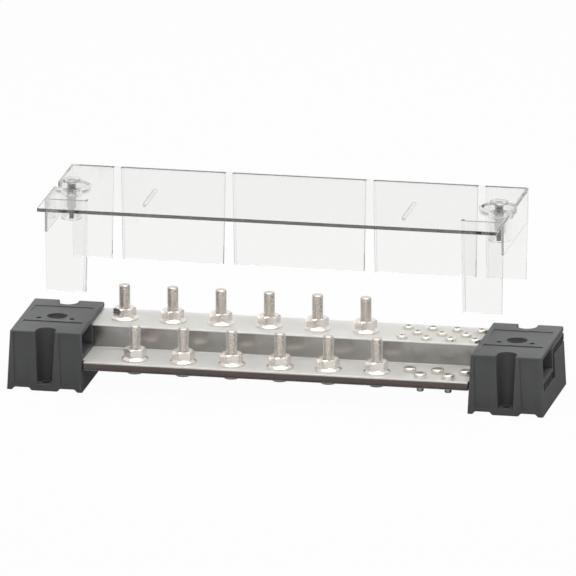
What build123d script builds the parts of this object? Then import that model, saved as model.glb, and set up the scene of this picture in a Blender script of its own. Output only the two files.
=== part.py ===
from build123d import *
import os
from math import cos, radians, sin, tan

# Power distribution bus bar: a Z-shaped plated bar with studs and terminal screws,
# held in two moulded end supports, under a clear cover that lifts off.
# Frame: X along the bar, Y to the back, Z up, origin on the mounting surface below the bar's middle.
# Millimetres and degrees. The cover stands lifted off its seat.

# Bar
bar_thickness = 6.35
bar_front = -42.4
bar_back = 44.6
bar_half_length = 192.0
bar_underside = 15.65
bar_top = 38.5
web_front = -0.8
tenon_front = -38.0
tenon_gap = 0.4
bar_edge_radius = 1.4
bar_inner_radius = 0.8
bar_end_chamfer = 0.7

# Studs and their flange nuts
stud_radius = 4.0
stud_free_radius = 3.8
stud_knurl_radius = 4.3
stud_length_above = 25.3
stud_head_radius = 6.3
stud_head_bevel = 1.0
stud_head_thickness = 3.2
stud_tip_chamfer = 0.6
stud_count = 6
lower_stud_left_inset = 87.8
lower_stud_right_inset = 121.2
lower_stud_y = -28.6
upper_stud_left_inset = 70.8
upper_stud_right_inset = 138.2
upper_stud_y = 17.9
nut_height = 8.8
nut_across_flats = 14.0
nut_turn = 19.0
nut_flange_radius = 9.6
nut_flange_edge = 1.2
nut_flange_rise = 1.6
nut_corner_bevel = 0.9
nut_thread_end = 1.0
hole_clearance = 0.1

# Terminal screws: the upper flange's are smaller than the lower flange's
upper_screw_radius = 2.0
upper_screw_head_radius = 4.05
upper_screw_head_height = 2.7
upper_screw_length = 6.0
upper_screw_pitch = 17.6
upper_screw_from_support = 58.7
upper_screw_back_y = 30.8
upper_screw_middle_y = 17.9
upper_screw_front_y = 5.2
lower_screw_radius = 2.5
lower_screw_head_radius = 4.65
lower_screw_head_height = 3.4
lower_screw_length = 10.0
lower_screw_pitch = 20.1
lower_screw_from_support = 47.8
lower_screw_back_y = -22.0
lower_screw_front_y = -35.2
screw_head_round = 1.2
screw_point_bevel = 0.5
drive_slot_width = 1.3
drive_slot_share = 1.1
drive_slot_depth = 1.5

# End supports: a housing over a base, drafted like mouldings
bar_end_overhang = 0.1
support_width = 50.8
support_depth = 87.0
support_plate_thickness = 4.5
support_draft = 2.6
support_corner_radius = 1.2
support_top_round = 0.8
bar_side_clearance = 0.3
base_clearance = 0.15
slot_relief_height = 1.5
slot_relief_depth = 3.0
window_wall = 2.6
window_front = -37.7
panel_recess = 0.8
side_band_top = 2.3
side_band_foot = 5.3
channel_band_top = 9.6
channel_band_foot = 11.8
panel_top_margin = 1.6
panel_foot = 4.6
foot_recess_height = 2.1
foot_recess_inner = 11.4
foot_recess_outer = 21.6

# Channels for the mounting screws, front and back of each support
channel_radius = 7.2
channel_depth = 12.0
channel_floor = 4.7
channel_wall = 2.2
mounting_hole_radius = 2.75
notch_clearance = 0.4

# Top of each support
centre_hole_radius = 7.5
catch_hole_radius = 2.0
catch_offset_x = 12.0
catch_offset_y = -6.3
name_panel_depth = 0.5
name_panel_front = 10.0
name_panel_back = 25.8
thumb_rest_depth = 0.7
thumb_rest_front = -24.0
thumb_rest_back = -13.8
top_recess_half_width = 21.3

# Cover
cover_seat_gap = 0.3
cover_lift = 74.5
cover_end_margin = 11.0
cover_wall = 1.6
cover_side_clearance = 0.45
plate_thickness = 2.5
eave_front = -74.6
boss_height = 24.7
end_wall_gap = 0.3
leg_gap = 0.5
leg_width = 30.6
wall_draft = 1.1
slot_width = 5.4
outer_slot_inset = 33.5
inner_slot_x = 51.0
boss_radius = 7.5
pocket_radius = 12.5
pocket_depth = 3.8
plate_rib_x = 93.5
plate_rib_width = 2.4
plate_rib_depth = 2.0
plate_rib_back = -5.0

# Thumb fasteners: a knob on a stem, and the ring that keeps the stem in its boss
knob_rise = 4.0
knob_radius = 6.4
knob_head_thickness = 1.6
knob_flare = 2.0
knob_neck_radius = 3.1
stem_radius = 3.3
stem_clearance = 0.3
spigot_radius = 1.8
spigot_length = 5.0
pilot_radius = 1.7
pilot_length = 4.6
groove_radius = 2.3
ring_radius = 4.6
ring_thickness = 1.2
ring_gap = 0.2
boss_guide_length = 5.0

# Worked out from the sizes above
web_back = web_front + bar_thickness
support_height = bar_top + support_plate_thickness
support_x = bar_half_length - bar_end_overhang - support_width / 2
upper_flange_underside = bar_top - bar_thickness
lower_flange_top = bar_underside + bar_thickness
support_inset = bar_end_overhang + support_width
upper_screw_first_inset = support_inset + upper_screw_from_support
lower_screw_first_inset = support_inset + lower_screw_from_support
foot_width = support_width + 2 * support_height * tan(radians(support_draft))
foot_depth = support_depth + 2 * support_height * tan(radians(support_draft))
cavity_front = tenon_front - bar_side_clearance
cavity_back = -bar_front + bar_side_clearance
window_floor = lower_flange_top + bar_side_clearance + window_wall
window_back = web_front - bar_side_clearance - window_wall
channel_centre_y = support_depth / 2 - channel_depth + channel_radius
post_radius = channel_radius + channel_wall
catch_x = support_x - catch_offset_x
cover_half_length = catch_x + cover_end_margin
outer_slot_x = cover_half_length - outer_slot_inset
cover_inner_half = foot_depth / 2 + cover_side_clearance
cover_half_depth = cover_inner_half + cover_wall
leg_return_reach = cover_half_depth + bar_front - bar_side_clearance
panel_return_reach = cover_half_depth - bar_back - bar_side_clearance
plate_top = support_height + cover_seat_gap + boss_height + cover_lift
plate_underside = plate_top - plate_thickness
leg_bottom = cover_lift + leg_gap
end_wall_bottom = cover_lift + support_height + end_wall_gap
pocket_floor = plate_top - pocket_depth
boss_bottom = plate_top - boss_height
boss_shoulder = pocket_floor - boss_guide_length
ring_top = boss_shoulder - ring_gap
knob_top = plate_top + knob_rise

os.makedirs("parts", exist_ok=True)


def hand_in(name, piece):
    """Labels a finished piece and writes it as its own STEP file."""
    piece.label = name
    export_step(piece, f"parts/{name}.step")


def turned(x, y, *points, mode=Mode.ADD):
    """Turns an outline of (radius, height) points about the upright line at x, y."""
    with BuildSketch(Plane(origin=(x, y, 0), x_dir=(1, 0, 0), z_dir=(0, -1, 0))) as outline:
        Polygon(*points, align=None)
    revolve(outline.sketch, axis=Axis((x, y, 0), (0, 0, 1)), mode=mode)


def row_of(count, first_inset, pitch, y, shift=0.0):
    """Places of a row that starts a distance in from the bar's right end, shifted by a share of the pitch."""
    return [(bar_half_length - first_inset + (i + shift) * pitch, y) for i in range(count)]


def stud_row(left_inset, right_inset, y):
    """Places of the studs, spread evenly between the first and the last one."""
    first_x = left_inset - bar_half_length
    pitch = (2 * bar_half_length - left_inset - right_inset) / (stud_count - 1)
    return [(first_x + i * pitch, y) for i in range(stud_count)]


# Places that the bar and the fasteners share
upper_stud_places = stud_row(upper_stud_left_inset, upper_stud_right_inset, upper_stud_y)
lower_stud_places = stud_row(lower_stud_left_inset, lower_stud_right_inset, lower_stud_y)
upper_screw_rows = {
    "upper_screws_back": row_of(4, upper_screw_first_inset, upper_screw_pitch, upper_screw_back_y),
    "upper_screws_middle": row_of(3, upper_screw_first_inset, upper_screw_pitch, upper_screw_middle_y, 0.5),
    "upper_screws_front": row_of(4, upper_screw_first_inset, upper_screw_pitch, upper_screw_front_y),
}
lower_screw_rows = {
    "lower_screws_back": row_of(3, lower_screw_first_inset, lower_screw_pitch, lower_screw_back_y),
    "lower_screws_front": row_of(2, lower_screw_first_inset, lower_screw_pitch, lower_screw_front_y, 0.5),
}
bar_holes = (
    (upper_stud_places, upper_flange_underside, stud_knurl_radius + hole_clearance),
    (lower_stud_places, bar_underside, stud_knurl_radius + hole_clearance),
    (sum(upper_screw_rows.values(), []), upper_flange_underside, upper_screw_radius + hole_clearance),
    (sum(lower_screw_rows.values(), []), bar_underside, lower_screw_radius + hole_clearance),
)

# The bar: a Z section with rounded edges, notched round the posts of the supports
with BuildPart() as bar:
    with BuildSketch(Plane.YZ.offset(-bar_half_length)) as section:
        with BuildLine():
            Polyline(
                (bar_front, bar_underside),
                (web_back, bar_underside),
                (web_back, upper_flange_underside),
                (bar_back, upper_flange_underside),
                (bar_back, bar_top),
                (web_front, bar_top),
                (web_front, lower_flange_top),
                (bar_front, lower_flange_top),
                close=True,
            )
        make_face()
        inner_zone = ((Axis.X, web_front, web_back), (Axis.Y, lower_flange_top, upper_flange_underside))
        inner_corners = section.vertices()
        for axis, low, high in inner_zone:
            inner_corners = inner_corners.filter_by_position(axis, low, high)
        outer_corners = [corner for corner in section.vertices() if corner not in inner_corners]
        fillet(outer_corners, radius=bar_edge_radius)
        inner_corners = section.vertices()
        for axis, low, high in inner_zone:
            inner_corners = inner_corners.filter_by_position(axis, low, high)
        fillet(inner_corners, radius=bar_inner_radius)
    extrude(amount=2 * bar_half_length)
    chamfer(bar.faces().filter_by(Axis.X).edges(), length=bar_end_chamfer)
    with BuildSketch(Plane.XY.offset(bar_underside)):
        with Locations((0, tenon_front - foot_depth / 2)):
            Rectangle(4 * bar_half_length, foot_depth)
            Rectangle(2 * support_x - foot_width - 2 * tenon_gap, foot_depth, mode=Mode.SUBTRACT)
    extrude(amount=bar_thickness, mode=Mode.SUBTRACT)
    notch_radius = post_radius + notch_clearance
    for hand in (-1, 1):
        for side, flange_underside in ((-1, bar_underside), (1, upper_flange_underside)):
            x = hand * support_x
            with BuildSketch(Plane.XY.offset(flange_underside)):
                with Locations((x, side * channel_centre_y)):
                    Circle(notch_radius)
                with Locations((x, side * (channel_centre_y + foot_depth / 2))):
                    Rectangle(2 * notch_radius, foot_depth)
            extrude(amount=bar_thickness, mode=Mode.SUBTRACT)
    for places, flange_underside, radius in bar_holes:
        with BuildSketch(Plane.XY.offset(flange_underside)):
            with Locations(*places):
                Circle(radius)
        extrude(amount=bar_thickness, mode=Mode.SUBTRACT)
hand_in("bus_bar", bar.part)


def press_in_stud(name, x, y, flange_underside):
    """Stud with a round head below the flange, a knurled neck in it and a thread above it."""
    head_bottom = flange_underside - stud_head_thickness
    flange_top = flange_underside + bar_thickness
    free_start = flange_top + nut_height + nut_thread_end
    tip = flange_top + stud_length_above
    with BuildPart() as stud:
        turned(
            x,
            y,
            (0, head_bottom),
            (stud_head_radius - stud_head_bevel, head_bottom),
            (stud_head_radius, head_bottom + stud_head_bevel),
            (stud_head_radius, flange_underside),
            (stud_knurl_radius, flange_underside),
            (stud_knurl_radius, flange_top),
            (stud_radius, flange_top),
            (stud_radius, free_start),
            (stud_free_radius, free_start),
            (stud_free_radius, tip - stud_tip_chamfer),
            (stud_free_radius - stud_tip_chamfer, tip),
            (0, tip),
        )
    hand_in(name, stud.part)


def flange_nut(name, x, y, seat):
    """Hexagon nut with a round flange that seats on the bar."""
    top = seat + nut_height
    cone_top = seat + nut_flange_edge + nut_flange_rise
    flat_radius = nut_across_flats / 2
    corner_radius = flat_radius / cos(radians(30))
    with BuildPart() as nut:
        with BuildSketch(Plane.XY.offset(seat)):
            with Locations((x, y)):
                RegularPolygon(flat_radius, 6, major_radius=False, rotation=nut_turn)
        extrude(amount=nut_height)
        turned(
            x,
            y,
            (0, seat),
            (corner_radius, seat),
            (corner_radius, top - nut_corner_bevel),
            (flat_radius, top),
            (0, top),
            mode=Mode.INTERSECT,
        )
        turned(
            x,
            y,
            (0, seat),
            (nut_flange_radius, seat),
            (nut_flange_radius, seat + nut_flange_edge),
            (flat_radius, cone_top),
            (0, cone_top),
        )
        with BuildSketch(Plane.XY.offset(seat)):
            with Locations((x, y)):
                Circle(stud_radius + hole_clearance)
        extrude(amount=nut_height, mode=Mode.SUBTRACT)
    hand_in(name, nut.part)


for row, places, flange_underside in (
    ("upper", upper_stud_places, upper_flange_underside),
    ("lower", lower_stud_places, bar_underside),
):
    for number, (x, y) in enumerate(places, start=1):
        press_in_stud(f"{row}_stud_{number}", x, y, flange_underside)
        flange_nut(f"{row}_nut_{number}", x, y, flange_underside + bar_thickness)


def screw_row(name, places, seat, radius, head_radius, head_height, length):
    """A row of pan head screws with cross recesses, seated on the flange."""
    head_top = seat + head_height
    point = seat - length
    with BuildPart() as row:
        for x, y in places:
            with BuildSketch(Plane(origin=(x, y, 0), x_dir=(1, 0, 0), z_dir=(0, -1, 0))):
                with BuildLine():
                    Polyline(
                        (head_radius - screw_head_round, head_top),
                        (0, head_top),
                        (0, point),
                        (radius - screw_point_bevel, point),
                        (radius, point + screw_point_bevel),
                        (radius, seat),
                        (head_radius, seat),
                        (head_radius, head_top - screw_head_round),
                    )
                    RadiusArc(
                        (head_radius, head_top - screw_head_round),
                        (head_radius - screw_head_round, head_top),
                        -screw_head_round,
                    )
                make_face()
            revolve(axis=Axis((x, y, 0), (0, 0, 1)))
        with BuildSketch(Plane.XY.offset(head_top)):
            with Locations(*places):
                Rectangle(head_radius * drive_slot_share, drive_slot_width)
                Rectangle(drive_slot_width, head_radius * drive_slot_share)
        extrude(amount=-drive_slot_depth, mode=Mode.SUBTRACT)
    hand_in(name, row.part)


for name, places in upper_screw_rows.items():
    screw_row(
        name,
        places,
        bar_top,
        upper_screw_radius,
        upper_screw_head_radius,
        upper_screw_head_height,
        upper_screw_length,
    )
for name, places in lower_screw_rows.items():
    screw_row(
        name,
        places,
        lower_flange_top,
        lower_screw_radius,
        lower_screw_head_radius,
        lower_screw_head_height,
        lower_screw_length,
    )


def drafted_outline(foot, top):
    """Outline of a support's face, wider at the foot than at the top."""
    Polygon(
        (-foot / 2, 0),
        (foot / 2, 0),
        (top / 2, support_height),
        (-top / 2, support_height),
        align=None,
    )


def support_block(x):
    """The drafted outer block that a support's two mouldings share."""
    with BuildSketch(Plane(origin=(x, 0, 0), x_dir=(1, 0, 0), z_dir=(0, -1, 0))) as front:
        drafted_outline(foot_width, support_width)
    extrude(front.sketch, amount=foot_depth / 2, both=True)
    with BuildSketch(Plane(origin=(x, 0, 0), x_dir=(0, 1, 0), z_dir=(1, 0, 0))) as end:
        drafted_outline(foot_depth, support_depth)
    extrude(end.sketch, amount=foot_width / 2, both=True, mode=Mode.INTERSECT)


def post_outline(x, side, radius, reach):
    """Outline of a channel post from above: a round back, and straight sides out to reach."""
    with Locations((x, side * channel_centre_y)):
        Circle(radius)
    with Locations((x, side * (channel_centre_y + reach) / 2)):
        Rectangle(2 * radius, reach - channel_centre_y)


def face_panels(x, side):
    """Recesses the panels of the front or back face, one each side of the channel."""
    slope = radians(support_draft)
    foot = panel_foot / cos(slope)
    top = (support_height - panel_top_margin) / cos(slope)
    foot_edge = foot_width / 2 - side_band_foot
    top_edge = support_width / 2 - side_band_top
    face = Plane(
        origin=(x, side * foot_depth / 2, 0),
        x_dir=(-side, 0, 0),
        z_dir=(0, side * cos(slope), sin(slope)),
    )
    with BuildSketch(face) as panels:
        for hand in (-1, 1):
            Polygon(
                (hand * channel_band_foot, foot),
                (hand * foot_edge, foot),
                (hand * top_edge, top),
                (hand * channel_band_top, top),
                align=None,
            )
    extrude(panels.sketch, amount=-panel_recess, mode=Mode.SUBTRACT)


def foot_recesses(x):
    """Cuts the two low recesses that run from front to back under a support."""
    with BuildSketch(Plane(origin=(x, foot_depth, 0), x_dir=(1, 0, 0), z_dir=(0, -1, 0))) as recesses:
        for hand in (-1, 1):
            Polygon(
                (hand * (foot_recess_inner - foot_recess_height), 0),
                (hand * (foot_recess_outer + foot_recess_height), 0),
                (hand * foot_recess_outer, foot_recess_height),
                (hand * foot_recess_inner, foot_recess_height),
                align=None,
            )
    extrude(recesses.sketch, amount=2 * foot_depth, mode=Mode.SUBTRACT)


def support_housing(name, x):
    """Top plate, front and back walls, window walls, and the posts with their screw channels."""
    with BuildPart() as housing:
        support_block(x)
        corner_edges = housing.edges().filter_by_position(Axis.Z, bar_underside, bar_top)
        fillet(corner_edges, radius=support_corner_radius)
        fillet(housing.faces().sort_by(Axis.Z)[-1].edges(), radius=support_top_round)
        with BuildSketch(Plane.YZ.offset(x - foot_width)):
            Polygon(
                (cavity_front, 0),
                (cavity_back, 0),
                (cavity_back, upper_flange_underside),
                (foot_depth, upper_flange_underside),
                (foot_depth, bar_top),
                (web_front - bar_side_clearance, bar_top),
                (web_front - bar_side_clearance, lower_flange_top + bar_side_clearance),
                (cavity_front, lower_flange_top + bar_side_clearance),
                align=None,
            )
            Polygon(
                (window_front, window_floor),
                (window_back, window_floor),
                (window_back, bar_top),
                (window_front, bar_top),
                align=None,
            )
        extrude(amount=2 * foot_width, mode=Mode.SUBTRACT)
        with BuildSketch(Plane.XY.offset(bar_top)):
            with Locations((x, (window_front + foot_depth) / 2)):
                Rectangle(foot_width, foot_depth - window_front)
                Rectangle(support_width - 2 * slot_relief_depth, 2 * foot_depth, mode=Mode.SUBTRACT)
        extrude(amount=slot_relief_height, mode=Mode.SUBTRACT)
        for side in (-1, 1):
            with BuildSketch():
                post_outline(x, side, post_radius, foot_depth / 2)
                with Locations((x, (cavity_front + cavity_back) / 2)):
                    Rectangle(foot_width, cavity_back - cavity_front, mode=Mode.INTERSECT)
            extrude(amount=bar_top)
            with BuildSketch(Plane(origin=(x, 0, support_height), x_dir=(1, 0, 0), z_dir=(0, 0, -1))):
                post_outline(0, -side, channel_radius, foot_depth)
            extrude(amount=support_height - channel_floor, taper=support_draft, mode=Mode.SUBTRACT)
            with BuildSketch():
                with Locations((x, side * channel_centre_y)):
                    Circle(mounting_hole_radius)
            extrude(amount=channel_floor, mode=Mode.SUBTRACT)
            face_panels(x, side)
        foot_recesses(x)
        with BuildSketch(Plane.XY.offset(bar_top)):
            with Locations((x, 0)):
                Circle(centre_hole_radius)
            with Locations((x - catch_offset_x, catch_offset_y), (x + catch_offset_x, catch_offset_y)):
                Circle(catch_hole_radius)
        extrude(amount=support_height - bar_top, mode=Mode.SUBTRACT)
        with BuildSketch(Plane.YZ.offset(x - top_recess_half_width)):
            Polygon(
                (name_panel_front, support_height - name_panel_depth),
                (name_panel_back, support_height - name_panel_depth),
                (name_panel_back, support_height),
                (name_panel_front, support_height),
                align=None,
            )
            Polygon(
                (thumb_rest_front, support_height),
                (thumb_rest_back, support_height - thumb_rest_depth),
                (thumb_rest_back, support_height),
                align=None,
            )
        extrude(amount=2 * top_recess_half_width, mode=Mode.SUBTRACT)
    hand_in(name, housing.part)


def support_base(name, x):
    """The stepped block that the bar lies on, cut out round the posts of the housing."""
    step_y = web_back + bar_side_clearance
    step_bevel = bar_inner_radius + bar_side_clearance
    front = cavity_front + base_clearance
    back = cavity_back - base_clearance
    with BuildPart() as base:
        support_block(x)
        with BuildSketch(Plane.YZ.offset(x - foot_width)):
            Polygon(
                (front, 0),
                (back, 0),
                (back, upper_flange_underside),
                (step_y + step_bevel, upper_flange_underside),
                (step_y, upper_flange_underside - step_bevel),
                (step_y, bar_underside),
                (front, bar_underside),
                align=None,
            )
        extrude(amount=2 * foot_width, mode=Mode.INTERSECT)
        for side in (-1, 1):
            with BuildSketch():
                post_outline(x, side, post_radius + base_clearance, foot_depth)
            extrude(amount=support_height, mode=Mode.SUBTRACT)
        foot_recesses(x)
    hand_in(name, base.part)


for hand, x in (("left", -support_x), ("right", support_x)):
    support_housing(f"{hand}_support_housing", x)
    support_base(f"{hand}_support_base", x)

# The cover: one clear moulding, open at the front between its legs
wall_lean = (plate_underside - leg_bottom) * tan(radians(wall_draft))
leg_inner_x = cover_half_length - leg_width
slot_edges = [
    centre + half * slot_width / 2
    for centre in (-outer_slot_x, -inner_slot_x, inner_slot_x, outer_slot_x)
    for half in (-1, 1)
]
panel_edges = [-cover_half_length, *slot_edges, cover_half_length]
back_panels = list(zip(panel_edges[0::2], panel_edges[1::2]))
front_legs = [(-cover_half_length, -leg_inner_x), (leg_inner_x, cover_half_length)]


def hanging_strip(outer_face, left, right, left_lean, right_lean, thickness):
    """Adds a strip of wall under the plate, whose side edges lean by the given amounts at the foot."""
    with BuildSketch(outer_face) as strip:
        Polygon(
            (left, plate_underside),
            (right, plate_underside),
            (right + right_lean, leg_bottom),
            (left + left_lean, leg_bottom),
            align=None,
        )
    extrude(strip.sketch, amount=thickness)


with BuildPart() as cover:
    with BuildSketch(Plane.XY.offset(plate_underside)):
        with Locations((0, (eave_front + cover_half_depth) / 2)):
            Rectangle(2 * cover_half_length, cover_half_depth - eave_front)
    extrude(amount=plate_thickness)
    for side, strips, return_reach in (
        (-1, front_legs, -leg_return_reach),
        (1, back_panels, panel_return_reach),
    ):
        outer_face = Plane(origin=(0, side * cover_half_depth, 0), x_dir=(1, 0, 0), z_dir=(0, -1, 0))
        for left, right in strips:
            hanging_strip(outer_face, left, right, wall_lean, -wall_lean, side * cover_wall)
            if left > -cover_half_length:
                hanging_strip(outer_face, left, left + cover_wall, wall_lean, wall_lean, return_reach)
            if right < cover_half_length:
                hanging_strip(outer_face, right - cover_wall, right, -wall_lean, -wall_lean, return_reach)
    with BuildSketch(Plane.XY.offset(end_wall_bottom)):
        for hand in (-1, 1):
            with Locations((hand * (cover_half_length - cover_wall / 2), 0)):
                Rectangle(cover_wall, 2 * cover_half_depth)
    extrude(amount=plate_underside - end_wall_bottom)
    with BuildSketch(Plane.XY.offset(plate_underside)):
        with Locations(*[(hand * plate_rib_x, (plate_rib_back - cover_half_depth) / 2) for hand in (-1, 1)]):
            Rectangle(plate_rib_width, plate_rib_back + cover_half_depth)
    extrude(amount=-plate_rib_depth)
    boss_places = [(hand * catch_x, catch_offset_y) for hand in (-1, 1)]
    with BuildSketch(Plane.XY.offset(pocket_floor - plate_thickness)):
        with Locations(*boss_places):
            Circle(pocket_radius + cover_wall)
        Rectangle(2 * cover_half_length, 2 * cover_half_depth, mode=Mode.INTERSECT)
    extrude(amount=plate_underside - pocket_floor + plate_thickness)
    with BuildSketch(Plane.XY.offset(boss_bottom)):
        with Locations(*boss_places):
            Circle(boss_radius)
    extrude(amount=pocket_floor - boss_bottom)
    for radius, bottom, top in (
        (pocket_radius, pocket_floor, plate_top),
        (stem_radius + stem_clearance, boss_bottom, pocket_floor),
        (ring_radius + stem_clearance, boss_bottom, boss_shoulder),
    ):
        with BuildSketch(Plane.XY.offset(bottom)):
            with Locations(*boss_places):
                Circle(radius)
        extrude(amount=top - bottom, mode=Mode.SUBTRACT)
hand_in("cover", cover.part)


def thumb_fastener(hand, x, y):
    """A knob moulded on its stem, and the ring held in the stem's groove."""
    knob_underside = knob_top - knob_head_thickness
    stem_bottom = boss_bottom + hole_clearance
    with BuildPart() as stem:
        turned(
            x,
            y,
            (0, stem_bottom),
            (pilot_radius - hole_clearance, stem_bottom),
            (pilot_radius, stem_bottom + hole_clearance),
            (pilot_radius, stem_bottom + pilot_length),
            (stem_radius, stem_bottom + pilot_length + stem_radius - pilot_radius),
            (stem_radius, ring_top - ring_thickness - ring_gap),
            (groove_radius, ring_top - ring_thickness - ring_gap),
            (groove_radius, ring_top + ring_gap),
            (stem_radius, ring_top + ring_gap),
            (stem_radius, pocket_floor),
            (spigot_radius, pocket_floor),
            (spigot_radius, pocket_floor + spigot_length),
            (0, pocket_floor + spigot_length),
        )
    hand_in(f"{hand}_fastener_stem", stem.part)
    with BuildPart() as ring:
        turned(
            x,
            y,
            (groove_radius + ring_gap, ring_top - ring_thickness),
            (ring_radius, ring_top - ring_thickness),
            (ring_radius, ring_top),
            (groove_radius + ring_gap, ring_top),
        )
    hand_in(f"{hand}_retaining_ring", ring.part)
    with BuildPart() as knob:
        turned(
            x,
            y,
            (spigot_radius + hole_clearance, pocket_floor),
            (knob_neck_radius, pocket_floor),
            (knob_neck_radius, knob_underside - knob_flare),
            (knob_radius, knob_underside),
            (knob_radius, knob_top),
            (0, knob_top),
            (0, pocket_floor + spigot_length),
            (spigot_radius + hole_clearance, pocket_floor + spigot_length),
        )
    hand_in(f"{hand}_thumb_knob", knob.part)


thumb_fastener("left", -catch_x, catch_offset_y)
thumb_fastener("right", catch_x, catch_offset_y)
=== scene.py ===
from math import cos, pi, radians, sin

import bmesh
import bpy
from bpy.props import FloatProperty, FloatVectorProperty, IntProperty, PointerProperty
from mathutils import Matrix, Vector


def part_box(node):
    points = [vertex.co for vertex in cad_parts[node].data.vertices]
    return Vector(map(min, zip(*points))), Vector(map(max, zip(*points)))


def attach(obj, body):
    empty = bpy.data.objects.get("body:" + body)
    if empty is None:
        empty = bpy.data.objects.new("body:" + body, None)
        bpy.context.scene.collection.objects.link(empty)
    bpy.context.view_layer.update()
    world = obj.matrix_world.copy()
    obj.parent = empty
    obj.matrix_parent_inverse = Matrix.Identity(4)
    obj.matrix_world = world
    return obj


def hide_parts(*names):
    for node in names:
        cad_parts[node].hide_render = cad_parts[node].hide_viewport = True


bl_info = {
    "name": "Bus Bar With Lift-off Cover",
    "version": (1, 0, 0),
    "blender": (4, 5, 0),
    "location": "View3D > Sidebar > Bus Bar",
    "description": "Dresses a power distribution bus bar, its end supports and its clear cover",
    "category": "Object",
}

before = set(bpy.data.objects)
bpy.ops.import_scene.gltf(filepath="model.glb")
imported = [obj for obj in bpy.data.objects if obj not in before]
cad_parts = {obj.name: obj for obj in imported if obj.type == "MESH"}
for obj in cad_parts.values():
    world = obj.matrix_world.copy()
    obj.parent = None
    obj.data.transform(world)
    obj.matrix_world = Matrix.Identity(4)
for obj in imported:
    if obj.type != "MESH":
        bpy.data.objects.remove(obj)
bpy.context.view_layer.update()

MM = 0.001
HANDS = ("left", "right")
STUD_NAMES = [f"{row}_stud_{number}" for row in ("upper", "lower") for number in range(1, 7)]
NUT_NAMES = [f"{row}_nut_{number}" for row in ("upper", "lower") for number in range(1, 7)]
SCREW_NAMES = [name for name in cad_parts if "_screws_" in name]


def linear(code):
    """Linear red, green and blue of an sRGB hex colour."""
    values = [int(code[i : i + 2], 16) / 255 for i in (1, 3, 5)]
    return tuple(v / 12.92 if v <= 0.04045 else ((v + 0.055) / 1.055) ** 2.4 for v in values)


# Materials


def add_node(tree, kind, inputs=None, **settings):
    """Adds a node with its settings; each input is a value, or an output to link to."""
    node = tree.nodes.new(kind)
    for name, value in settings.items():
        setattr(node, name, value)
    for name, value in (inputs or {}).items():
        if isinstance(value, bpy.types.NodeSocket):
            tree.links.new(value, node.inputs[name])
        else:
            node.inputs[name].default_value = value
    return node


def new_material(name):
    """An empty node material and its tree."""
    material = bpy.data.materials.new(name)
    material.use_nodes = True
    material.node_tree.nodes.clear()
    return material, material.node_tree


def finish_surface(tree, shader, volume=None):
    """Links a shader, and a volume where there is one, to the material's output."""
    output = add_node(tree, "ShaderNodeOutputMaterial", {"Surface": shader.outputs[0]})
    if volume:
        tree.links.new(volume.outputs[0], output.inputs["Volume"])


def object_pattern(tree, size, stretch=(1.0, 1.0, 1.0)):
    """Object coordinates for a pattern of a real size, stretched along the axes."""
    place = add_node(tree, "ShaderNodeTexCoord")
    mapping = add_node(
        tree,
        "ShaderNodeMapping",
        {"Vector": place.outputs["Object"], "Scale": [1 / size / s for s in stretch]},
    )
    return mapping.outputs["Vector"]


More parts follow.
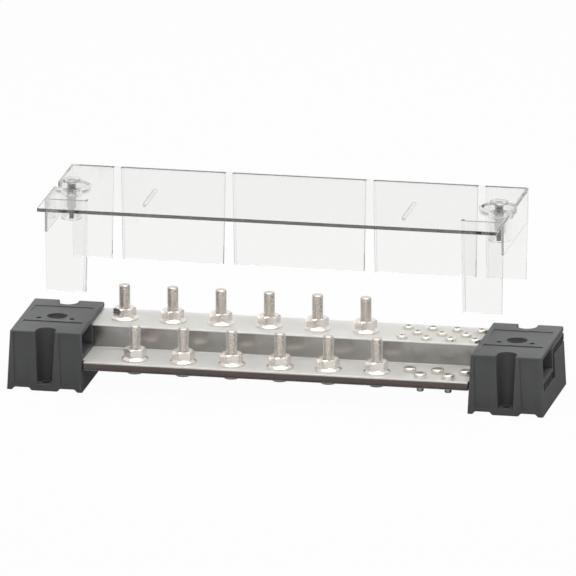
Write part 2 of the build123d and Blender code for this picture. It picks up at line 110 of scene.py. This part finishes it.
def tinned_copper(colours):
    """Tin-plated copper flat bar, rolled lengthwise and plated matt."""
    # The eye gets pale satin flanges with faint lengthwise rolling lines; the upright web and the
    # sheared edges get darker colours, a painted dark reflection, and the ends painted shade.
    line_spacing = 0.9 * MM  # as coarse as it has to be to show: the real lines are finer
    line_stretch = (40, 1, 1)
    line_mark = 0.06  # how far a line changes the roughness
    cloud_size = 28 * MM
    edges_from_middle = 30 * MM  # the web is nearer to the middle, the sheared edges further out
    ends_from_middle = 188 * MM
    level_normal, upright_normal = 0.96, 0.1
    flange_metal, upright_metal = 0.15, 0.85
    flange_rough, upright_rough = 0.46, 0.24
    material, tree = new_material("tin_plated_copper_bar")
    lines = add_node(
        tree,
        "ShaderNodeTexNoise",
        {
            "Vector": object_pattern(tree, line_spacing, line_stretch),
            "Scale": 1.0,
            "Detail": 3.0,
            "Roughness": 0.6,
        },
    )
    clouds = add_node(
        tree,
        "ShaderNodeTexNoise",
        {"Vector": object_pattern(tree, cloud_size), "Scale": 1.0, "Detail": 4.0},
    )
    tint = add_node(
        tree,
        "ShaderNodeMix",
        {
            "Factor": clouds.outputs["Fac"],
            "A": (*colours.tin_pale, 1.0),
            "B": (*colours.tin_dull, 1.0),
        },
        data_type="RGBA",
    )
    place = add_node(tree, "ShaderNodeTexCoord")
    point = add_node(tree, "ShaderNodeSeparateXYZ", {"Vector": place.outputs["Object"]})
    facing = add_node(tree, "ShaderNodeSeparateXYZ", {"Vector": place.outputs["Normal"]})
    level = add_node(tree, "ShaderNodeMath", {0: facing.outputs["Z"]}, operation="ABSOLUTE")
    upright = add_node(
        tree,
        "ShaderNodeMapRange",
        {"Value": level.outputs[0], "From Min": level_normal, "From Max": upright_normal},
    )
    across = add_node(tree, "ShaderNodeMath", {0: point.outputs["Y"]}, operation="ABSOLUTE")
    edge = add_node(
        tree,
        "ShaderNodeMath",
        {0: across.outputs[0], 1: edges_from_middle},
        operation="GREATER_THAN",
    )
    # Painted dark reflection: the upright web and the sheared edges are coloured darker than the
    # flanges.
    upright_painted_reflection = add_node(
        tree,
        "ShaderNodeMix",
        {
            "Factor": edge.outputs[0],
            "A": (*colours.web, 1.0),
            "B": (*colours.sheared_edge_painted_reflection, 1.0),
        },
        data_type="RGBA",
    )
    length_colour = add_node(
        tree,
        "ShaderNodeMix",
        {
            "Factor": upright.outputs["Result"],
            "A": tint.outputs["Result"],
            "B": upright_painted_reflection.outputs["Result"],
        },
        data_type="RGBA",
    )
    # Painted shade: the end faces and the last 5 mm of the bar, inside the supports, are coloured
    # dark brown.
    along = add_node(tree, "ShaderNodeMath", {0: point.outputs["X"]}, operation="ABSOLUTE")
    end = add_node(
        tree,
        "ShaderNodeMath",
        {0: along.outputs[0], 1: ends_from_middle},
        operation="GREATER_THAN",
    )
    colour = add_node(
        tree,
        "ShaderNodeMix",
        {
            "Factor": end.outputs[0],
            "A": length_colour.outputs["Result"],
            "B": (*colours.end_painted_shade, 1.0),
        },
        data_type="RGBA",
    )
    metal = add_node(
        tree,
        "ShaderNodeMapRange",
        {"Value": upright.outputs["Result"], "To Min": flange_metal, "To Max": upright_metal},
    )
    gloss = add_node(
        tree,
        "ShaderNodeMapRange",
        {"Value": upright.outputs["Result"], "To Min": flange_rough, "To Max": upright_rough},
    )
    marks = add_node(
        tree,
        "ShaderNodeMapRange",
        {"Value": lines.outputs["Fac"], "To Min": -line_mark, "To Max": line_mark},
    )
    rough = add_node(
        tree,
        "ShaderNodeMath",
        {0: gloss.outputs["Result"], 1: marks.outputs["Result"]},
        operation="ADD",
    )
    bump = add_node(
        tree,
        "ShaderNodeBump",
        {"Height": lines.outputs["Fac"], "Strength": 0.12, "Distance": 0.02 * MM},
    )
    shader = add_node(
        tree,
        "ShaderNodeBsdfPrincipled",
        {
            "Base Color": colour.outputs["Result"],
            "Metallic": metal.outputs["Result"],
            "Roughness": rough.outputs[0],
            "Normal": bump.outputs["Normal"],
        },
    )
    finish_surface(tree, shader)
    return material


def bright_steel(name, colour, roughness, mark_size):
    """Fastener steel, cold formed and tumbled, or nickel plated."""
    # The eye gets a warm, nearly mirror-bright metal with soft tumbling marks in its gloss.
    smoother, rougher = 0.06, 0.1  # how far the marks change the roughness
    material, tree = new_material(name)
    marks = add_node(
        tree,
        "ShaderNodeTexNoise",
        {
            "Vector": object_pattern(tree, mark_size),
            "Scale": 1.0,
            "Detail": 5.0,
            "Roughness": 0.6,
        },
    )
    rough = add_node(
        tree,
        "ShaderNodeMapRange",
        {
            "Value": marks.outputs["Fac"],
            "To Min": roughness - smoother,
            "To Max": roughness + rougher,
        },
    )
    bump = add_node(
        tree,
        "ShaderNodeBump",
        {"Height": marks.outputs["Fac"], "Strength": 0.15, "Distance": 0.03 * MM},
    )
    shader = add_node(
        tree,
        "ShaderNodeBsdfPrincipled",
        {
            "Base Color": (*colour, 1.0),
            "Metallic": 1.0,
            "Roughness": rough.outputs["Result"],
            "Normal": bump.outputs["Normal"],
        },
    )
    finish_surface(tree, shader)
    return material


def charcoal_nylon(colours):
    """Glass-filled nylon, moulded against a spark-eroded tool."""
    # The eye gets a matt charcoal grey with a fine even grain and slightly cloudy flow marks.
    grain_size = 0.5 * MM  # as coarse as it has to be to show: the real grit is about 0.1 mm
    flow_size = 11 * MM
    material, tree = new_material("glass_filled_nylon_charcoal")
    grain = add_node(
        tree,
        "ShaderNodeTexNoise",
        {
            "Vector": object_pattern(tree, grain_size),
            "Scale": 1.0,
            "Detail": 3.0,
            "Roughness": 0.7,
        },
    )
    flow = add_node(
        tree,
        "ShaderNodeTexNoise",
        {"Vector": object_pattern(tree, flow_size), "Scale": 1.0, "Detail": 3.0},
    )
    colour = add_node(
        tree,
        "ShaderNodeMix",
        {
            "Factor": flow.outputs["Fac"],
            "A": (*colours.nylon_light, 1.0),
            "B": (*colours.nylon_dark, 1.0),
        },
        data_type="RGBA",
    )
    bump = add_node(
        tree,
        "ShaderNodeBump",
        {"Height": grain.outputs["Fac"], "Strength": 0.25, "Distance": 0.05 * MM},
    )
    shader = add_node(
        tree,
        "ShaderNodeBsdfPrincipled",
        {
            "Base Color": colour.outputs["Result"],
            "Roughness": 0.58,
            "IOR": 1.53,
            "Normal": bump.outputs["Normal"],
        },
    )
    finish_surface(tree, shader)
    return material


def clear_polycarbonate(colours):
    """Clear polycarbonate, injection moulded and left glossy."""
    # The eye gets a nearly invisible sheet whose edges and ribs show grey, because light goes a
    # long way in them, and a dark line of painted shade on the plate's front lip.
    ripple_size = 40 * MM
    lip_face = -74.4 * MM  # only the plate's front face lies further forward
    material, tree = new_material("clear_polycarbonate")
    ripple = add_node(
        tree,
        "ShaderNodeTexNoise",
        {"Vector": object_pattern(tree, ripple_size), "Scale": 1.0, "Detail": 2.0},
    )
    bump = add_node(
        tree,
        "ShaderNodeBump",
        {"Height": ripple.outputs["Fac"], "Strength": 0.1, "Distance": 0.2 * MM},
    )
    place = add_node(tree, "ShaderNodeTexCoord")
    point = add_node(tree, "ShaderNodeSeparateXYZ", {"Vector": place.outputs["Object"]})
    # Painted shade: the plate's front lip is coloured dark grey.
    lip = add_node(
        tree,
        "ShaderNodeMath",
        {0: point.outputs["Y"], 1: lip_face},
        operation="LESS_THAN",
    )
    colour = add_node(
        tree,
        "ShaderNodeMix",
        {
            "Factor": lip.outputs[0],
            "A": (*colours.cover_face, 1.0),
            "B": (*colours.cover_lip_painted_shade, 1.0),
        },
        data_type="RGBA",
    )
    shader = add_node(
        tree,
        "ShaderNodeBsdfPrincipled",
        {
            "Base Color": colour.outputs["Result"],
            "Roughness": 0.03,
            "IOR": 1.585,
            "Transmission Weight": 1.0,
            "Normal": bump.outputs["Normal"],
        },
    )
    volume = add_node(
        tree,
        "ShaderNodeVolumeAbsorption",
        {"Color": (*colours.cover_depth, 1.0), "Density": 24.0},
    )
    finish_surface(tree, shader, volume)
    return material


def smoke_polycarbonate(colours):
    """Smoke-tinted polycarbonate, moulded with a light haze."""
    # The eye gets a cool grey, half see-through knob with bright rims.
    haze_size = 3 * MM
    material, tree = new_material("smoke_polycarbonate")
    haze = add_node(
        tree,
        "ShaderNodeTexNoise",
        {"Vector": object_pattern(tree, haze_size), "Scale": 1.0, "Detail": 2.0},
    )
    rough = add_node(
        tree,
        "ShaderNodeMapRange",
        {"Value": haze.outputs["Fac"], "To Min": 0.12, "To Max": 0.22},
    )
    shader = add_node(
        tree,
        "ShaderNodeBsdfPrincipled",
        {
            "Base Color": (*colours.smoke, 1.0),
            "Roughness": rough.outputs["Result"],
            "IOR": 1.585,
            "Transmission Weight": 0.7,
        },
    )
    finish_surface(tree, shader)
    return material


def black_acetal(colours):
    """Black acetal, moulded, with the slight sheen of a sliding part."""
    # The eye gets a deep grey that catches soft highlights on its edges.
    grain_size = 0.6 * MM
    material, tree = new_material("black_acetal")
    grain = add_node(
        tree,
        "ShaderNodeTexNoise",
        {"Vector": object_pattern(tree, grain_size), "Scale": 1.0, "Detail": 2.0},
    )
    bump = add_node(
        tree,
        "ShaderNodeBump",
        {"Height": grain.outputs["Fac"], "Strength": 0.1, "Distance": 0.03 * MM},
    )
    shader = add_node(
        tree,
        "ShaderNodeBsdfPrincipled",
        {
            "Base Color": (*colours.acetal, 1.0),
            "Roughness": 0.38,
            "IOR": 1.48,
            "Normal": bump.outputs["Normal"],
        },
    )
    finish_surface(tree, shader)
    return material


def coat(thing, material):
    """Gives every material slot of an object the same material."""
    if not thing.material_slots:
        thing.data.materials.append(material)
    for slot in thing.material_slots:
        slot.material = material


# Shapes


def new_object(name, mesh):
    """Links a new object with this mesh to the scene."""
    thing = bpy.data.objects.new(name, mesh)
    bpy.context.scene.collection.objects.link(thing)
    return thing


def softened_copy(name, node_name, width, body):
    """A copy of a moulding with its sharp edges rounded, as its tool was, in its place."""
    merge_distance = 0.002 * MM
    flat_angle = radians(0.6)
    sharp_angle = radians(32)
    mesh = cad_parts[node_name].data.copy()
    mesh.name = name
    shape = bmesh.new()
    shape.from_mesh(mesh)
    bmesh.ops.remove_doubles(shape, verts=shape.verts, dist=merge_distance)
    bmesh.ops.dissolve_limit(
        shape, angle_limit=flat_angle, verts=shape.verts, edges=shape.edges
    )
    shape.to_mesh(mesh)
    shape.free()
    if mesh.attributes.get("custom_normal"):
        mesh.attributes.remove(mesh.attributes["custom_normal"])
    mesh.polygons.foreach_set("use_smooth", [True] * len(mesh.polygons))
    thing = new_object(name, mesh)
    bevel = thing.modifiers.new("rounded edges", "BEVEL")
    bevel.width = width
    bevel.segments = 2
    bevel.limit_method = "ANGLE"
    bevel.angle_limit = sharp_angle
    bevel.harden_normals = True
    bevel.use_clamp_overlap = True
    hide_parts(node_name)
    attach(thing, body)
    return thing


def ring_point(radius, share, height):
    """The point at a share of a turn about the Z axis."""
    angle = 2 * pi * share
    return radius * cos(angle), radius * sin(angle), height


def turned_solid(shape, outline, segments):
    """A closed solid turned about the Z axis from an outline of (radius, height) points."""
    rings = [
        [shape.verts.new(ring_point(radius, i / segments, height)) for i in range(segments)]
        for radius, height in outline
    ]
    for low, high in zip(rings, rings[1:]):
        for i in range(segments):
            j = (i + 1) % segments
            shape.faces.new((low[i], low[j], high[j], high[i]))
    shape.faces.new(list(reversed(rings[0])))
    shape.faces.new(rings[-1])


def cut_thread(shape, threads, bottom, top):
    """A right-handed thread between two heights, its crests chamfered away at the tip."""
    profile = (0.0, 0.0, 1.0, 1.0)  # root, root, crest, crest in one pitch
    steps = len(profile)
    segments = threads.segments
    count = int((top - bottom) / threads.pitch + 2) * steps + 1
    end_radius = threads.major_radius - max(threads.depth, threads.tip_chamfer)
    columns = []
    for i in range(segments):
        column = []
        for k in range(count):
            height = bottom + threads.pitch * (k / steps + i / segments - 1)
            height = min(max(height, bottom), top)
            radius = threads.major_radius - threads.depth * (1 - profile[k % steps])
            radius = min(radius, threads.major_radius - threads.tip_chamfer + (top - height))
            if height in (bottom, top):
                radius = end_radius
            column.append(shape.verts.new(ring_point(radius, i / segments, height)))
        columns.append(column)
    for i, left in enumerate(columns):
        right = columns[(i + 1) % segments]
        shift = steps if i + 1 == segments else 0
        for k in range(count - 1 - shift):
            shape.faces.new((left[k], right[k + shift], right[k + 1 + shift], left[k + 1]))


def stud_mesh(threads):
    """A stud about the Z axis, from the underside of its head at height 0."""
    head_segments = 32
    rim = 0.2 * MM
    neck_gap = 0.01 * MM
    thread_overlap = 0.5 * MM
    merge_distance = 0.001 * MM
    low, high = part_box(STUD_NAMES[0])
    nut_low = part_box(NUT_NAMES[0])[0]
    neck_top = nut_low.z - low.z
    tip = high.z - low.z
    head_radius = (high.x - low.x) / 2
    head_top = threads.head_thickness
    outline = (
        (head_radius - threads.head_bevel, 0.0),
        (head_radius, threads.head_bevel),
        (head_radius, head_top - rim),
        (head_radius - rim, head_top),
        (threads.neck_radius, head_top),
        (threads.neck_radius, neck_top - neck_gap),
    )
    shape = bmesh.new()
    turned_solid(shape, outline, head_segments)
    cut_thread(shape, threads, neck_top - thread_overlap, tip)
    bmesh.ops.remove_doubles(shape, verts=shape.verts, dist=merge_distance)
    bmesh.ops.dissolve_degenerate(shape, edges=shape.edges, dist=merge_distance)
    bmesh.ops.holes_fill(shape, edges=shape.edges, sides=0)
    bmesh.ops.recalc_face_normals(shape, faces=shape.faces)
    mesh = bpy.data.meshes.new("threaded_stud")
    shape.to_mesh(mesh)
    shape.free()
    return mesh


# Sizes and colours that a user would change


class BusBarColours(bpy.types.PropertyGroup):
    tin_pale: FloatVectorProperty(
        name="Tin, Pale",
        description="Pale cloud of the tin plating",
        subtype="COLOR",
        default=linear("#f2f0ec"),
    )
    tin_dull: FloatVectorProperty(
        name="Tin, Dull",
        description="Dull cloud of the tin plating",
        subtype="COLOR",
        default=linear("#eae9e4"),
    )
    web: FloatVectorProperty(
        name="Web",
        description="Painted dark reflection on the upright web",
        subtype="COLOR",
        default=linear("#a09e9b"),
    )
    sheared_edge_painted_reflection: FloatVectorProperty(
        name="Sheared Edge",
        description="Painted dark reflection on the cut edges",
        subtype="COLOR",
        default=linear("#665c59"),
    )
    end_painted_shade: FloatVectorProperty(
        name="Sawn End",
        description="Painted shade on the bar's two ends",
        subtype="COLOR",
        default=linear("#3c3230"),
    )
    stainless_stud: FloatVectorProperty(
        name="Stainless, Studs",
        description="Rolled threads",
        subtype="COLOR",
        default=linear("#d8d2cb"),
    )
    stainless_nut: FloatVectorProperty(
        name="Stainless, Nuts",
        description="Formed and tumbled nuts",
        subtype="COLOR",
        default=linear("#e6e0da"),
    )
    nickel: FloatVectorProperty(
        name="Nickel Plate",
        description="Terminal screws",
        subtype="COLOR",
        default=linear("#e4e0d8"),
    )
    nylon_light: FloatVectorProperty(
        name="Nylon, Light",
        description="Lighter flow marks of the supports",
        subtype="COLOR",
        default=linear("#606162"),
    )
    nylon_dark: FloatVectorProperty(
        name="Nylon, Dark",
        description="Darker flow marks of the supports",
        subtype="COLOR",
        default=linear("#595a5b"),
    )
    cover_face: FloatVectorProperty(
        name="Cover Face",
        description="Tint of one wall of the clear plastic",
        subtype="COLOR",
        default=linear("#f7f7f6"),
    )
    cover_lip_painted_shade: FloatVectorProperty(
        name="Cover Lip",
        description="Painted shade on the front edge of the cover's plate",
        subtype="COLOR",
        default=linear("#707070"),
    )
    cover_depth: FloatVectorProperty(
        name="Cover Depth",
        description="Colour deep in the clear plastic",
        subtype="COLOR",
        default=linear("#cfd0cc"),
    )
    smoke: FloatVectorProperty(
        name="Smoke",
        description="Tint of the thumb knobs",
        subtype="COLOR",
        default=linear("#e6e7e6"),
    )
    acetal: FloatVectorProperty(
        name="Acetal",
        description="Stems and retaining rings",
        subtype="COLOR",
        default=linear("#2a2a2b"),
    )


class StudThreads(bpy.types.PropertyGroup):
    major_radius: FloatProperty(
        name="Major Radius", description="Over the crests", unit="LENGTH", default=4.0 * MM
    )
    depth: FloatProperty(
        name="Depth", description="Crest to root", unit="LENGTH", default=0.45 * MM
    )
    pitch: FloatProperty(
        name="Pitch", description="Crest to crest", unit="LENGTH", default=1.25 * MM
    )
    tip_chamfer: FloatProperty(
        name="Tip Chamfer", description="At 45 degrees", unit="LENGTH", default=0.4 * MM
    )
    neck_radius: FloatProperty(
        name="Neck Radius", description="Pressed in the bar", unit="LENGTH", default=4.3 * MM
    )
    head_thickness: FloatProperty(
        name="Head Thickness", description="Under the flange", unit="LENGTH", default=3.2 * MM
    )
    head_bevel: FloatProperty(
        name="Head Bevel", description="Lower rim of the head", unit="LENGTH", default=1.0 * MM
    )
    segments: IntProperty(name="Segments", description="Round the thread", default=28, min=8)


class StageSettings(bpy.types.PropertyGroup):
    aim: FloatVectorProperty(
        name="Aim",
        description="Point in the middle of the picture",
        subtype="TRANSLATION",
        default=(0.0009, 0.0, 0.0726),
    )
    azimuth: FloatProperty(
        name="Azimuth",
        description="To the right of the front",
        subtype="ANGLE",
        default=radians(11.2),
    )
    elevation: FloatProperty(
        name="Elevation",
        description="Above the horizon",
        subtype="ANGLE",
        default=radians(15.5),
    )
    distance: FloatProperty(
        name="Distance", description="Camera to aim", unit="LENGTH", default=17.0
    )
    frame_width: FloatProperty(
        name="Frame Width", description="Width seen at the aim", unit="LENGTH", default=0.409
    )
    floor_size: FloatProperty(
        name="Floor Size", description="Side of the floor", unit="LENGTH", default=12.0
    )
    floor_white: FloatProperty(
        name="Floor White", description="Light that the floor gives back", default=0.6
    )
    board_white: FloatProperty(
        name="Board White", description="Brightness of the dark board", default=0.12
    )
    fill: FloatProperty(
        name="Fill", description="Even light from all round", default=0.25
    )
    top_power: FloatProperty(
        name="Top Power", description="Softbox over the bar", unit="POWER", default=30.0
    )
    right_power: FloatProperty(
        name="Right Power", description="Softbox to the right", unit="POWER", default=1.0
    )


class BusBarSettings(bpy.types.PropertyGroup):
    colours: PointerProperty(
        type=BusBarColours, name="Colours", description="Finishes of the pieces"
    )
    threads: PointerProperty(
        type=StudThreads, name="Threads", description="Sizes of the studs"
    )
    stage: PointerProperty(
        type=StageSettings, name="Stage", description="Camera, light and floor"
    )


# Stage


def lamp(name, place, target, size, power):
    """A square softbox at a place, turned to a target, that nothing mirrors."""
    light = bpy.data.lights.new(name, "AREA")
    light.shape = "SQUARE"
    light.size = size
    light.energy = power
    thing = bpy.data.objects.new(name, light)
    thing.location = place
    thing.rotation_euler = (Vector(target) - Vector(place)).to_track_quat("-Z", "Y").to_euler()
    thing.visible_camera = False
    thing.visible_glossy = False
    bpy.context.scene.collection.objects.link(thing)


def background_rays(tree):
    """1 for the rays that show the background: from the camera, off metal and through glass."""
    rays = add_node(tree, "ShaderNodeLightPath")
    seen = add_node(
        tree,
        "ShaderNodeMath",
        {0: rays.outputs["Is Camera Ray"], 1: rays.outputs["Is Glossy Ray"]},
        operation="ADD",
    )
    through = add_node(
        tree,
        "ShaderNodeMath",
        {0: seen.outputs[0], 1: rays.outputs["Is Transmission Ray"]},
        operation="ADD",
        use_clamp=True,
    )
    return through.outputs[0]


def white_world(fill):
    """White where it shows as background, and a lower even fill for everything else."""
    world = bpy.data.worlds.new("studio")
    bpy.context.scene.world = world
    world.use_nodes = True
    tree = world.node_tree
    tree.nodes.clear()
    strength = add_node(
        tree,
        "ShaderNodeMapRange",
        {"Value": background_rays(tree), "To Min": fill, "To Max": 1.0},
    )
    background = add_node(
        tree,
        "ShaderNodeBackground",
        {"Color": (1.0, 1.0, 1.0, 1.0), "Strength": strength.outputs["Result"]},
    )
    add_node(tree, "ShaderNodeOutputWorld", {"Surface": background.outputs[0]})


def white_paper(whiteness):
    """Matt white paper that shows as background and keeps the object's shadow."""
    background_share = 0.97  # the rest is the paper itself, with the shadow on it
    material, tree = new_material("white_paper")
    paper = add_node(
        tree,
        "ShaderNodeBsdfDiffuse",
        {"Color": (whiteness, whiteness, whiteness, 1.0), "Roughness": 0.4},
    )
    glow = add_node(
        tree, "ShaderNodeEmission", {"Color": (1.0, 1.0, 1.0, 1.0), "Strength": 1.0}
    )
    share = add_node(
        tree,
        "ShaderNodeMath",
        {0: background_rays(tree), 1: background_share},
        operation="MULTIPLY",
    )
    mix = add_node(
        tree,
        "ShaderNodeMixShader",
        {0: share.outputs[0], 1: paper.outputs[0], 2: glow.outputs[0]},
    )
    finish_surface(tree, mix)
    return material


def painted_reflection_card(brightness):
    """Slightly warm grey glowing card that shows one brightness, a painted dark reflection."""
    colour = (brightness, brightness * 0.98, brightness * 0.95, 1.0)
    material, tree = new_material("painted_reflection_card")
    glow = add_node(tree, "ShaderNodeEmission", {"Color": colour, "Strength": 1.0})
    finish_surface(tree, glow)
    return material


def level_card(name, low, high, height, material):
    """A level card between two corners, which isn't part of the object."""
    corners = (low, (high[0], low[1]), high, (low[0], high[1]))
    mesh = bpy.data.meshes.new(name)
    mesh.from_pydata([(x, y, height) for x, y in corners], [], [(0, 1, 2, 3)])
    mesh.update()
    thing = new_object(name, mesh)
    coat(thing, material)
    return thing


class BUSBAR_OT_stage(bpy.types.Operator):
    """Sets up the floor, the softboxes, the dark board, a painted reflection that only metal
    mirrors, and the camera
    """

    bl_idname = "bus_bar.stage"
    bl_label = "Stage"

    def execute(self, context):
        scene = context.scene
        stage = scene.bus_bar.stage
        half = stage.floor_size / 2
        level_card("floor", (-half, -half), (half, half), 0.0, white_paper(stage.floor_white))
        # Painted dark reflection: a glowing card that only glossy rays see; it casts no shadow
        # and gives no light.
        board = level_card(
            "painted_reflection_board", (-0.6, -0.095), (0.6, 0.35), 0.0004, painted_reflection_card(stage.board_white)
        )
        board.visible_camera = False
        board.visible_diffuse = False
        board.visible_transmission = False
        board.visible_shadow = False
        white_world(stage.fill)
        lamp(
            "top_softbox",
            place=(0.0, 0.0, 1.7),
            target=(0.0, 0.0, 0.03),
            size=1.4,
            power=stage.top_power,
        )
        lamp(
            "right_softbox",
            place=(2.0, -0.2, 0.9),
            target=(0.0, 0.0, 0.05),
            size=1.2,
            power=stage.right_power,
        )
        camera = bpy.data.cameras.new("camera")
        camera.sensor_width = 36.0
        camera.lens = camera.sensor_width * stage.distance / stage.frame_width
        camera.clip_end = 2 * stage.distance
        away = Vector(
            (
                sin(stage.azimuth) * cos(stage.elevation),
                -cos(stage.azimuth) * cos(stage.elevation),
                sin(stage.elevation),
            )
        )
        view = bpy.data.objects.new("camera", camera)
        view.location = Vector(stage.aim) + away * stage.distance
        view.rotation_euler = (-away).to_track_quat("-Z", "Y").to_euler()
        scene.collection.objects.link(view)
        scene.camera = view
        scene.view_settings.view_transform = "Standard"
        # Light crosses many walls of the clear cover on its way.
        scene.cycles.max_bounces = 32
        scene.cycles.glossy_bounces = 16
        scene.cycles.transmission_bounces = 24
        return {"FINISHED"}


# Pieces


class BUSBAR_OT_bar(bpy.types.Operator):
    """Plates the Z-shaped copper bar"""

    bl_idname = "bus_bar.bar"
    bl_label = "Bus Bar"

    def execute(self, context):
        coat(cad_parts["bus_bar"], tinned_copper(context.scene.bus_bar.colours))
        return {"FINISHED"}


class BUSBAR_OT_studs(bpy.types.Operator):
    """Cuts the threads of the studs"""

    bl_idname = "bus_bar.studs"
    bl_label = "Studs"

    def execute(self, context):
        settings = context.scene.bus_bar
        steel = bright_steel(
            "stainless_steel_rolled",
            settings.colours.stainless_stud,
            roughness=0.24,
            mark_size=0.8 * MM,
        )
        mesh = stud_mesh(settings.threads)
        mesh.materials.append(steel)
        for name in STUD_NAMES:
            low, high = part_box(name)
            stud = new_object(f"threaded_{name}", mesh)
            stud.location = ((low.x + high.x) / 2, (low.y + high.y) / 2, low.z)
            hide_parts(name)
            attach(stud, "root")
        return {"FINISHED"}


class BUSBAR_OT_nuts(bpy.types.Operator):
    """Finishes the hexagon flange nuts"""

    bl_idname = "bus_bar.nuts"
    bl_label = "Flange Nuts"

    def execute(self, context):
        steel = bright_steel(
            "stainless_steel_formed",
            context.scene.bus_bar.colours.stainless_nut,
            roughness=0.24,
            mark_size=1.5 * MM,
        )
        for name in NUT_NAMES:
            coat(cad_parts[name], steel)
        return {"FINISHED"}


class BUSBAR_OT_screws(bpy.types.Operator):
    """Finishes the rows of terminal screws"""

    bl_idname = "bus_bar.screws"
    bl_label = "Terminal Screws"

    def execute(self, context):
        nickel = bright_steel(
            "nickel_plated_steel",
            context.scene.bus_bar.colours.nickel,
            roughness=0.22,
            mark_size=1.2 * MM,
        )
        for name in SCREW_NAMES:
            coat(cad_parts[name], nickel)
        return {"FINISHED"}


class BUSBAR_OT_supports(bpy.types.Operator):
    """Softens the edges of the end supports and gives them their grain"""

    bl_idname = "bus_bar.supports"
    bl_label = "End Supports"

    def execute(self, context):
        nylon = charcoal_nylon(context.scene.bus_bar.colours)
        edge_width = 0.35 * MM
        for hand in HANDS:
            for part in ("housing", "base"):
                node_name = f"{hand}_support_{part}"
                moulding = softened_copy(
                    f"moulded_{node_name}", node_name, edge_width, "root"
                )
                coat(moulding, nylon)
        return {"FINISHED"}


class BUSBAR_OT_cover(bpy.types.Operator):
    """Makes the clear cover"""

    bl_idname = "bus_bar.cover"
    bl_label = "Clear Cover"

    def execute(self, context):
        clear = clear_polycarbonate(context.scene.bus_bar.colours)
        edge_width = 0.25 * MM
        moulding = softened_copy(
            "moulded_cover", "cover", edge_width, "cover"
        )
        coat(moulding, clear)
        return {"FINISHED"}


class BUSBAR_OT_fasteners(bpy.types.Operator):
    """Finishes the thumb fasteners and their retaining rings"""

    bl_idname = "bus_bar.fasteners"
    bl_label = "Thumb Fasteners"

    def execute(self, context):
        colours = context.scene.bus_bar.colours
        smoke = smoke_polycarbonate(colours)
        acetal = black_acetal(colours)
        for hand in HANDS:
            coat(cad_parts[f"{hand}_thumb_knob"], smoke)
            coat(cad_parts[f"{hand}_fastener_stem"], acetal)
            coat(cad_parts[f"{hand}_retaining_ring"], acetal)
        return {"FINISHED"}


class BUSBAR_PT_pieces(bpy.types.Panel):
    """Lists the stage and the pieces"""

    bl_label = "Bus Bar"
    bl_idname = "BUSBAR_PT_pieces"
    bl_space_type = "VIEW_3D"
    bl_region_type = "UI"
    bl_category = "Bus Bar"

    def draw(self, context):
        for operator in OPERATORS:
            self.layout.operator(operator.bl_idname)


OPERATORS = (
    BUSBAR_OT_stage,
    BUSBAR_OT_bar,
    BUSBAR_OT_studs,
    BUSBAR_OT_nuts,
    BUSBAR_OT_screws,
    BUSBAR_OT_supports,
    BUSBAR_OT_cover,
    BUSBAR_OT_fasteners,
)
GROUPS = (BusBarColours, StudThreads, StageSettings, BusBarSettings)
CLASSES = (*GROUPS, *OPERATORS, BUSBAR_PT_pieces)


def register():
    for cls in CLASSES:
        bpy.utils.register_class(cls)
    bpy.types.Scene.bus_bar = PointerProperty(type=BusBarSettings)


def unregister():
    del bpy.types.Scene.bus_bar
    for cls in reversed(CLASSES):
        bpy.utils.unregister_class(cls)


def main():
    """Registers the add-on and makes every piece."""
    register()
    bpy.ops.bus_bar.stage()
    bpy.ops.bus_bar.bar()
    bpy.ops.bus_bar.studs()
    bpy.ops.bus_bar.nuts()
    bpy.ops.bus_bar.screws()
    bpy.ops.bus_bar.supports()
    bpy.ops.bus_bar.cover()
    bpy.ops.bus_bar.fasteners()


if __name__ == "__main__":
    main()
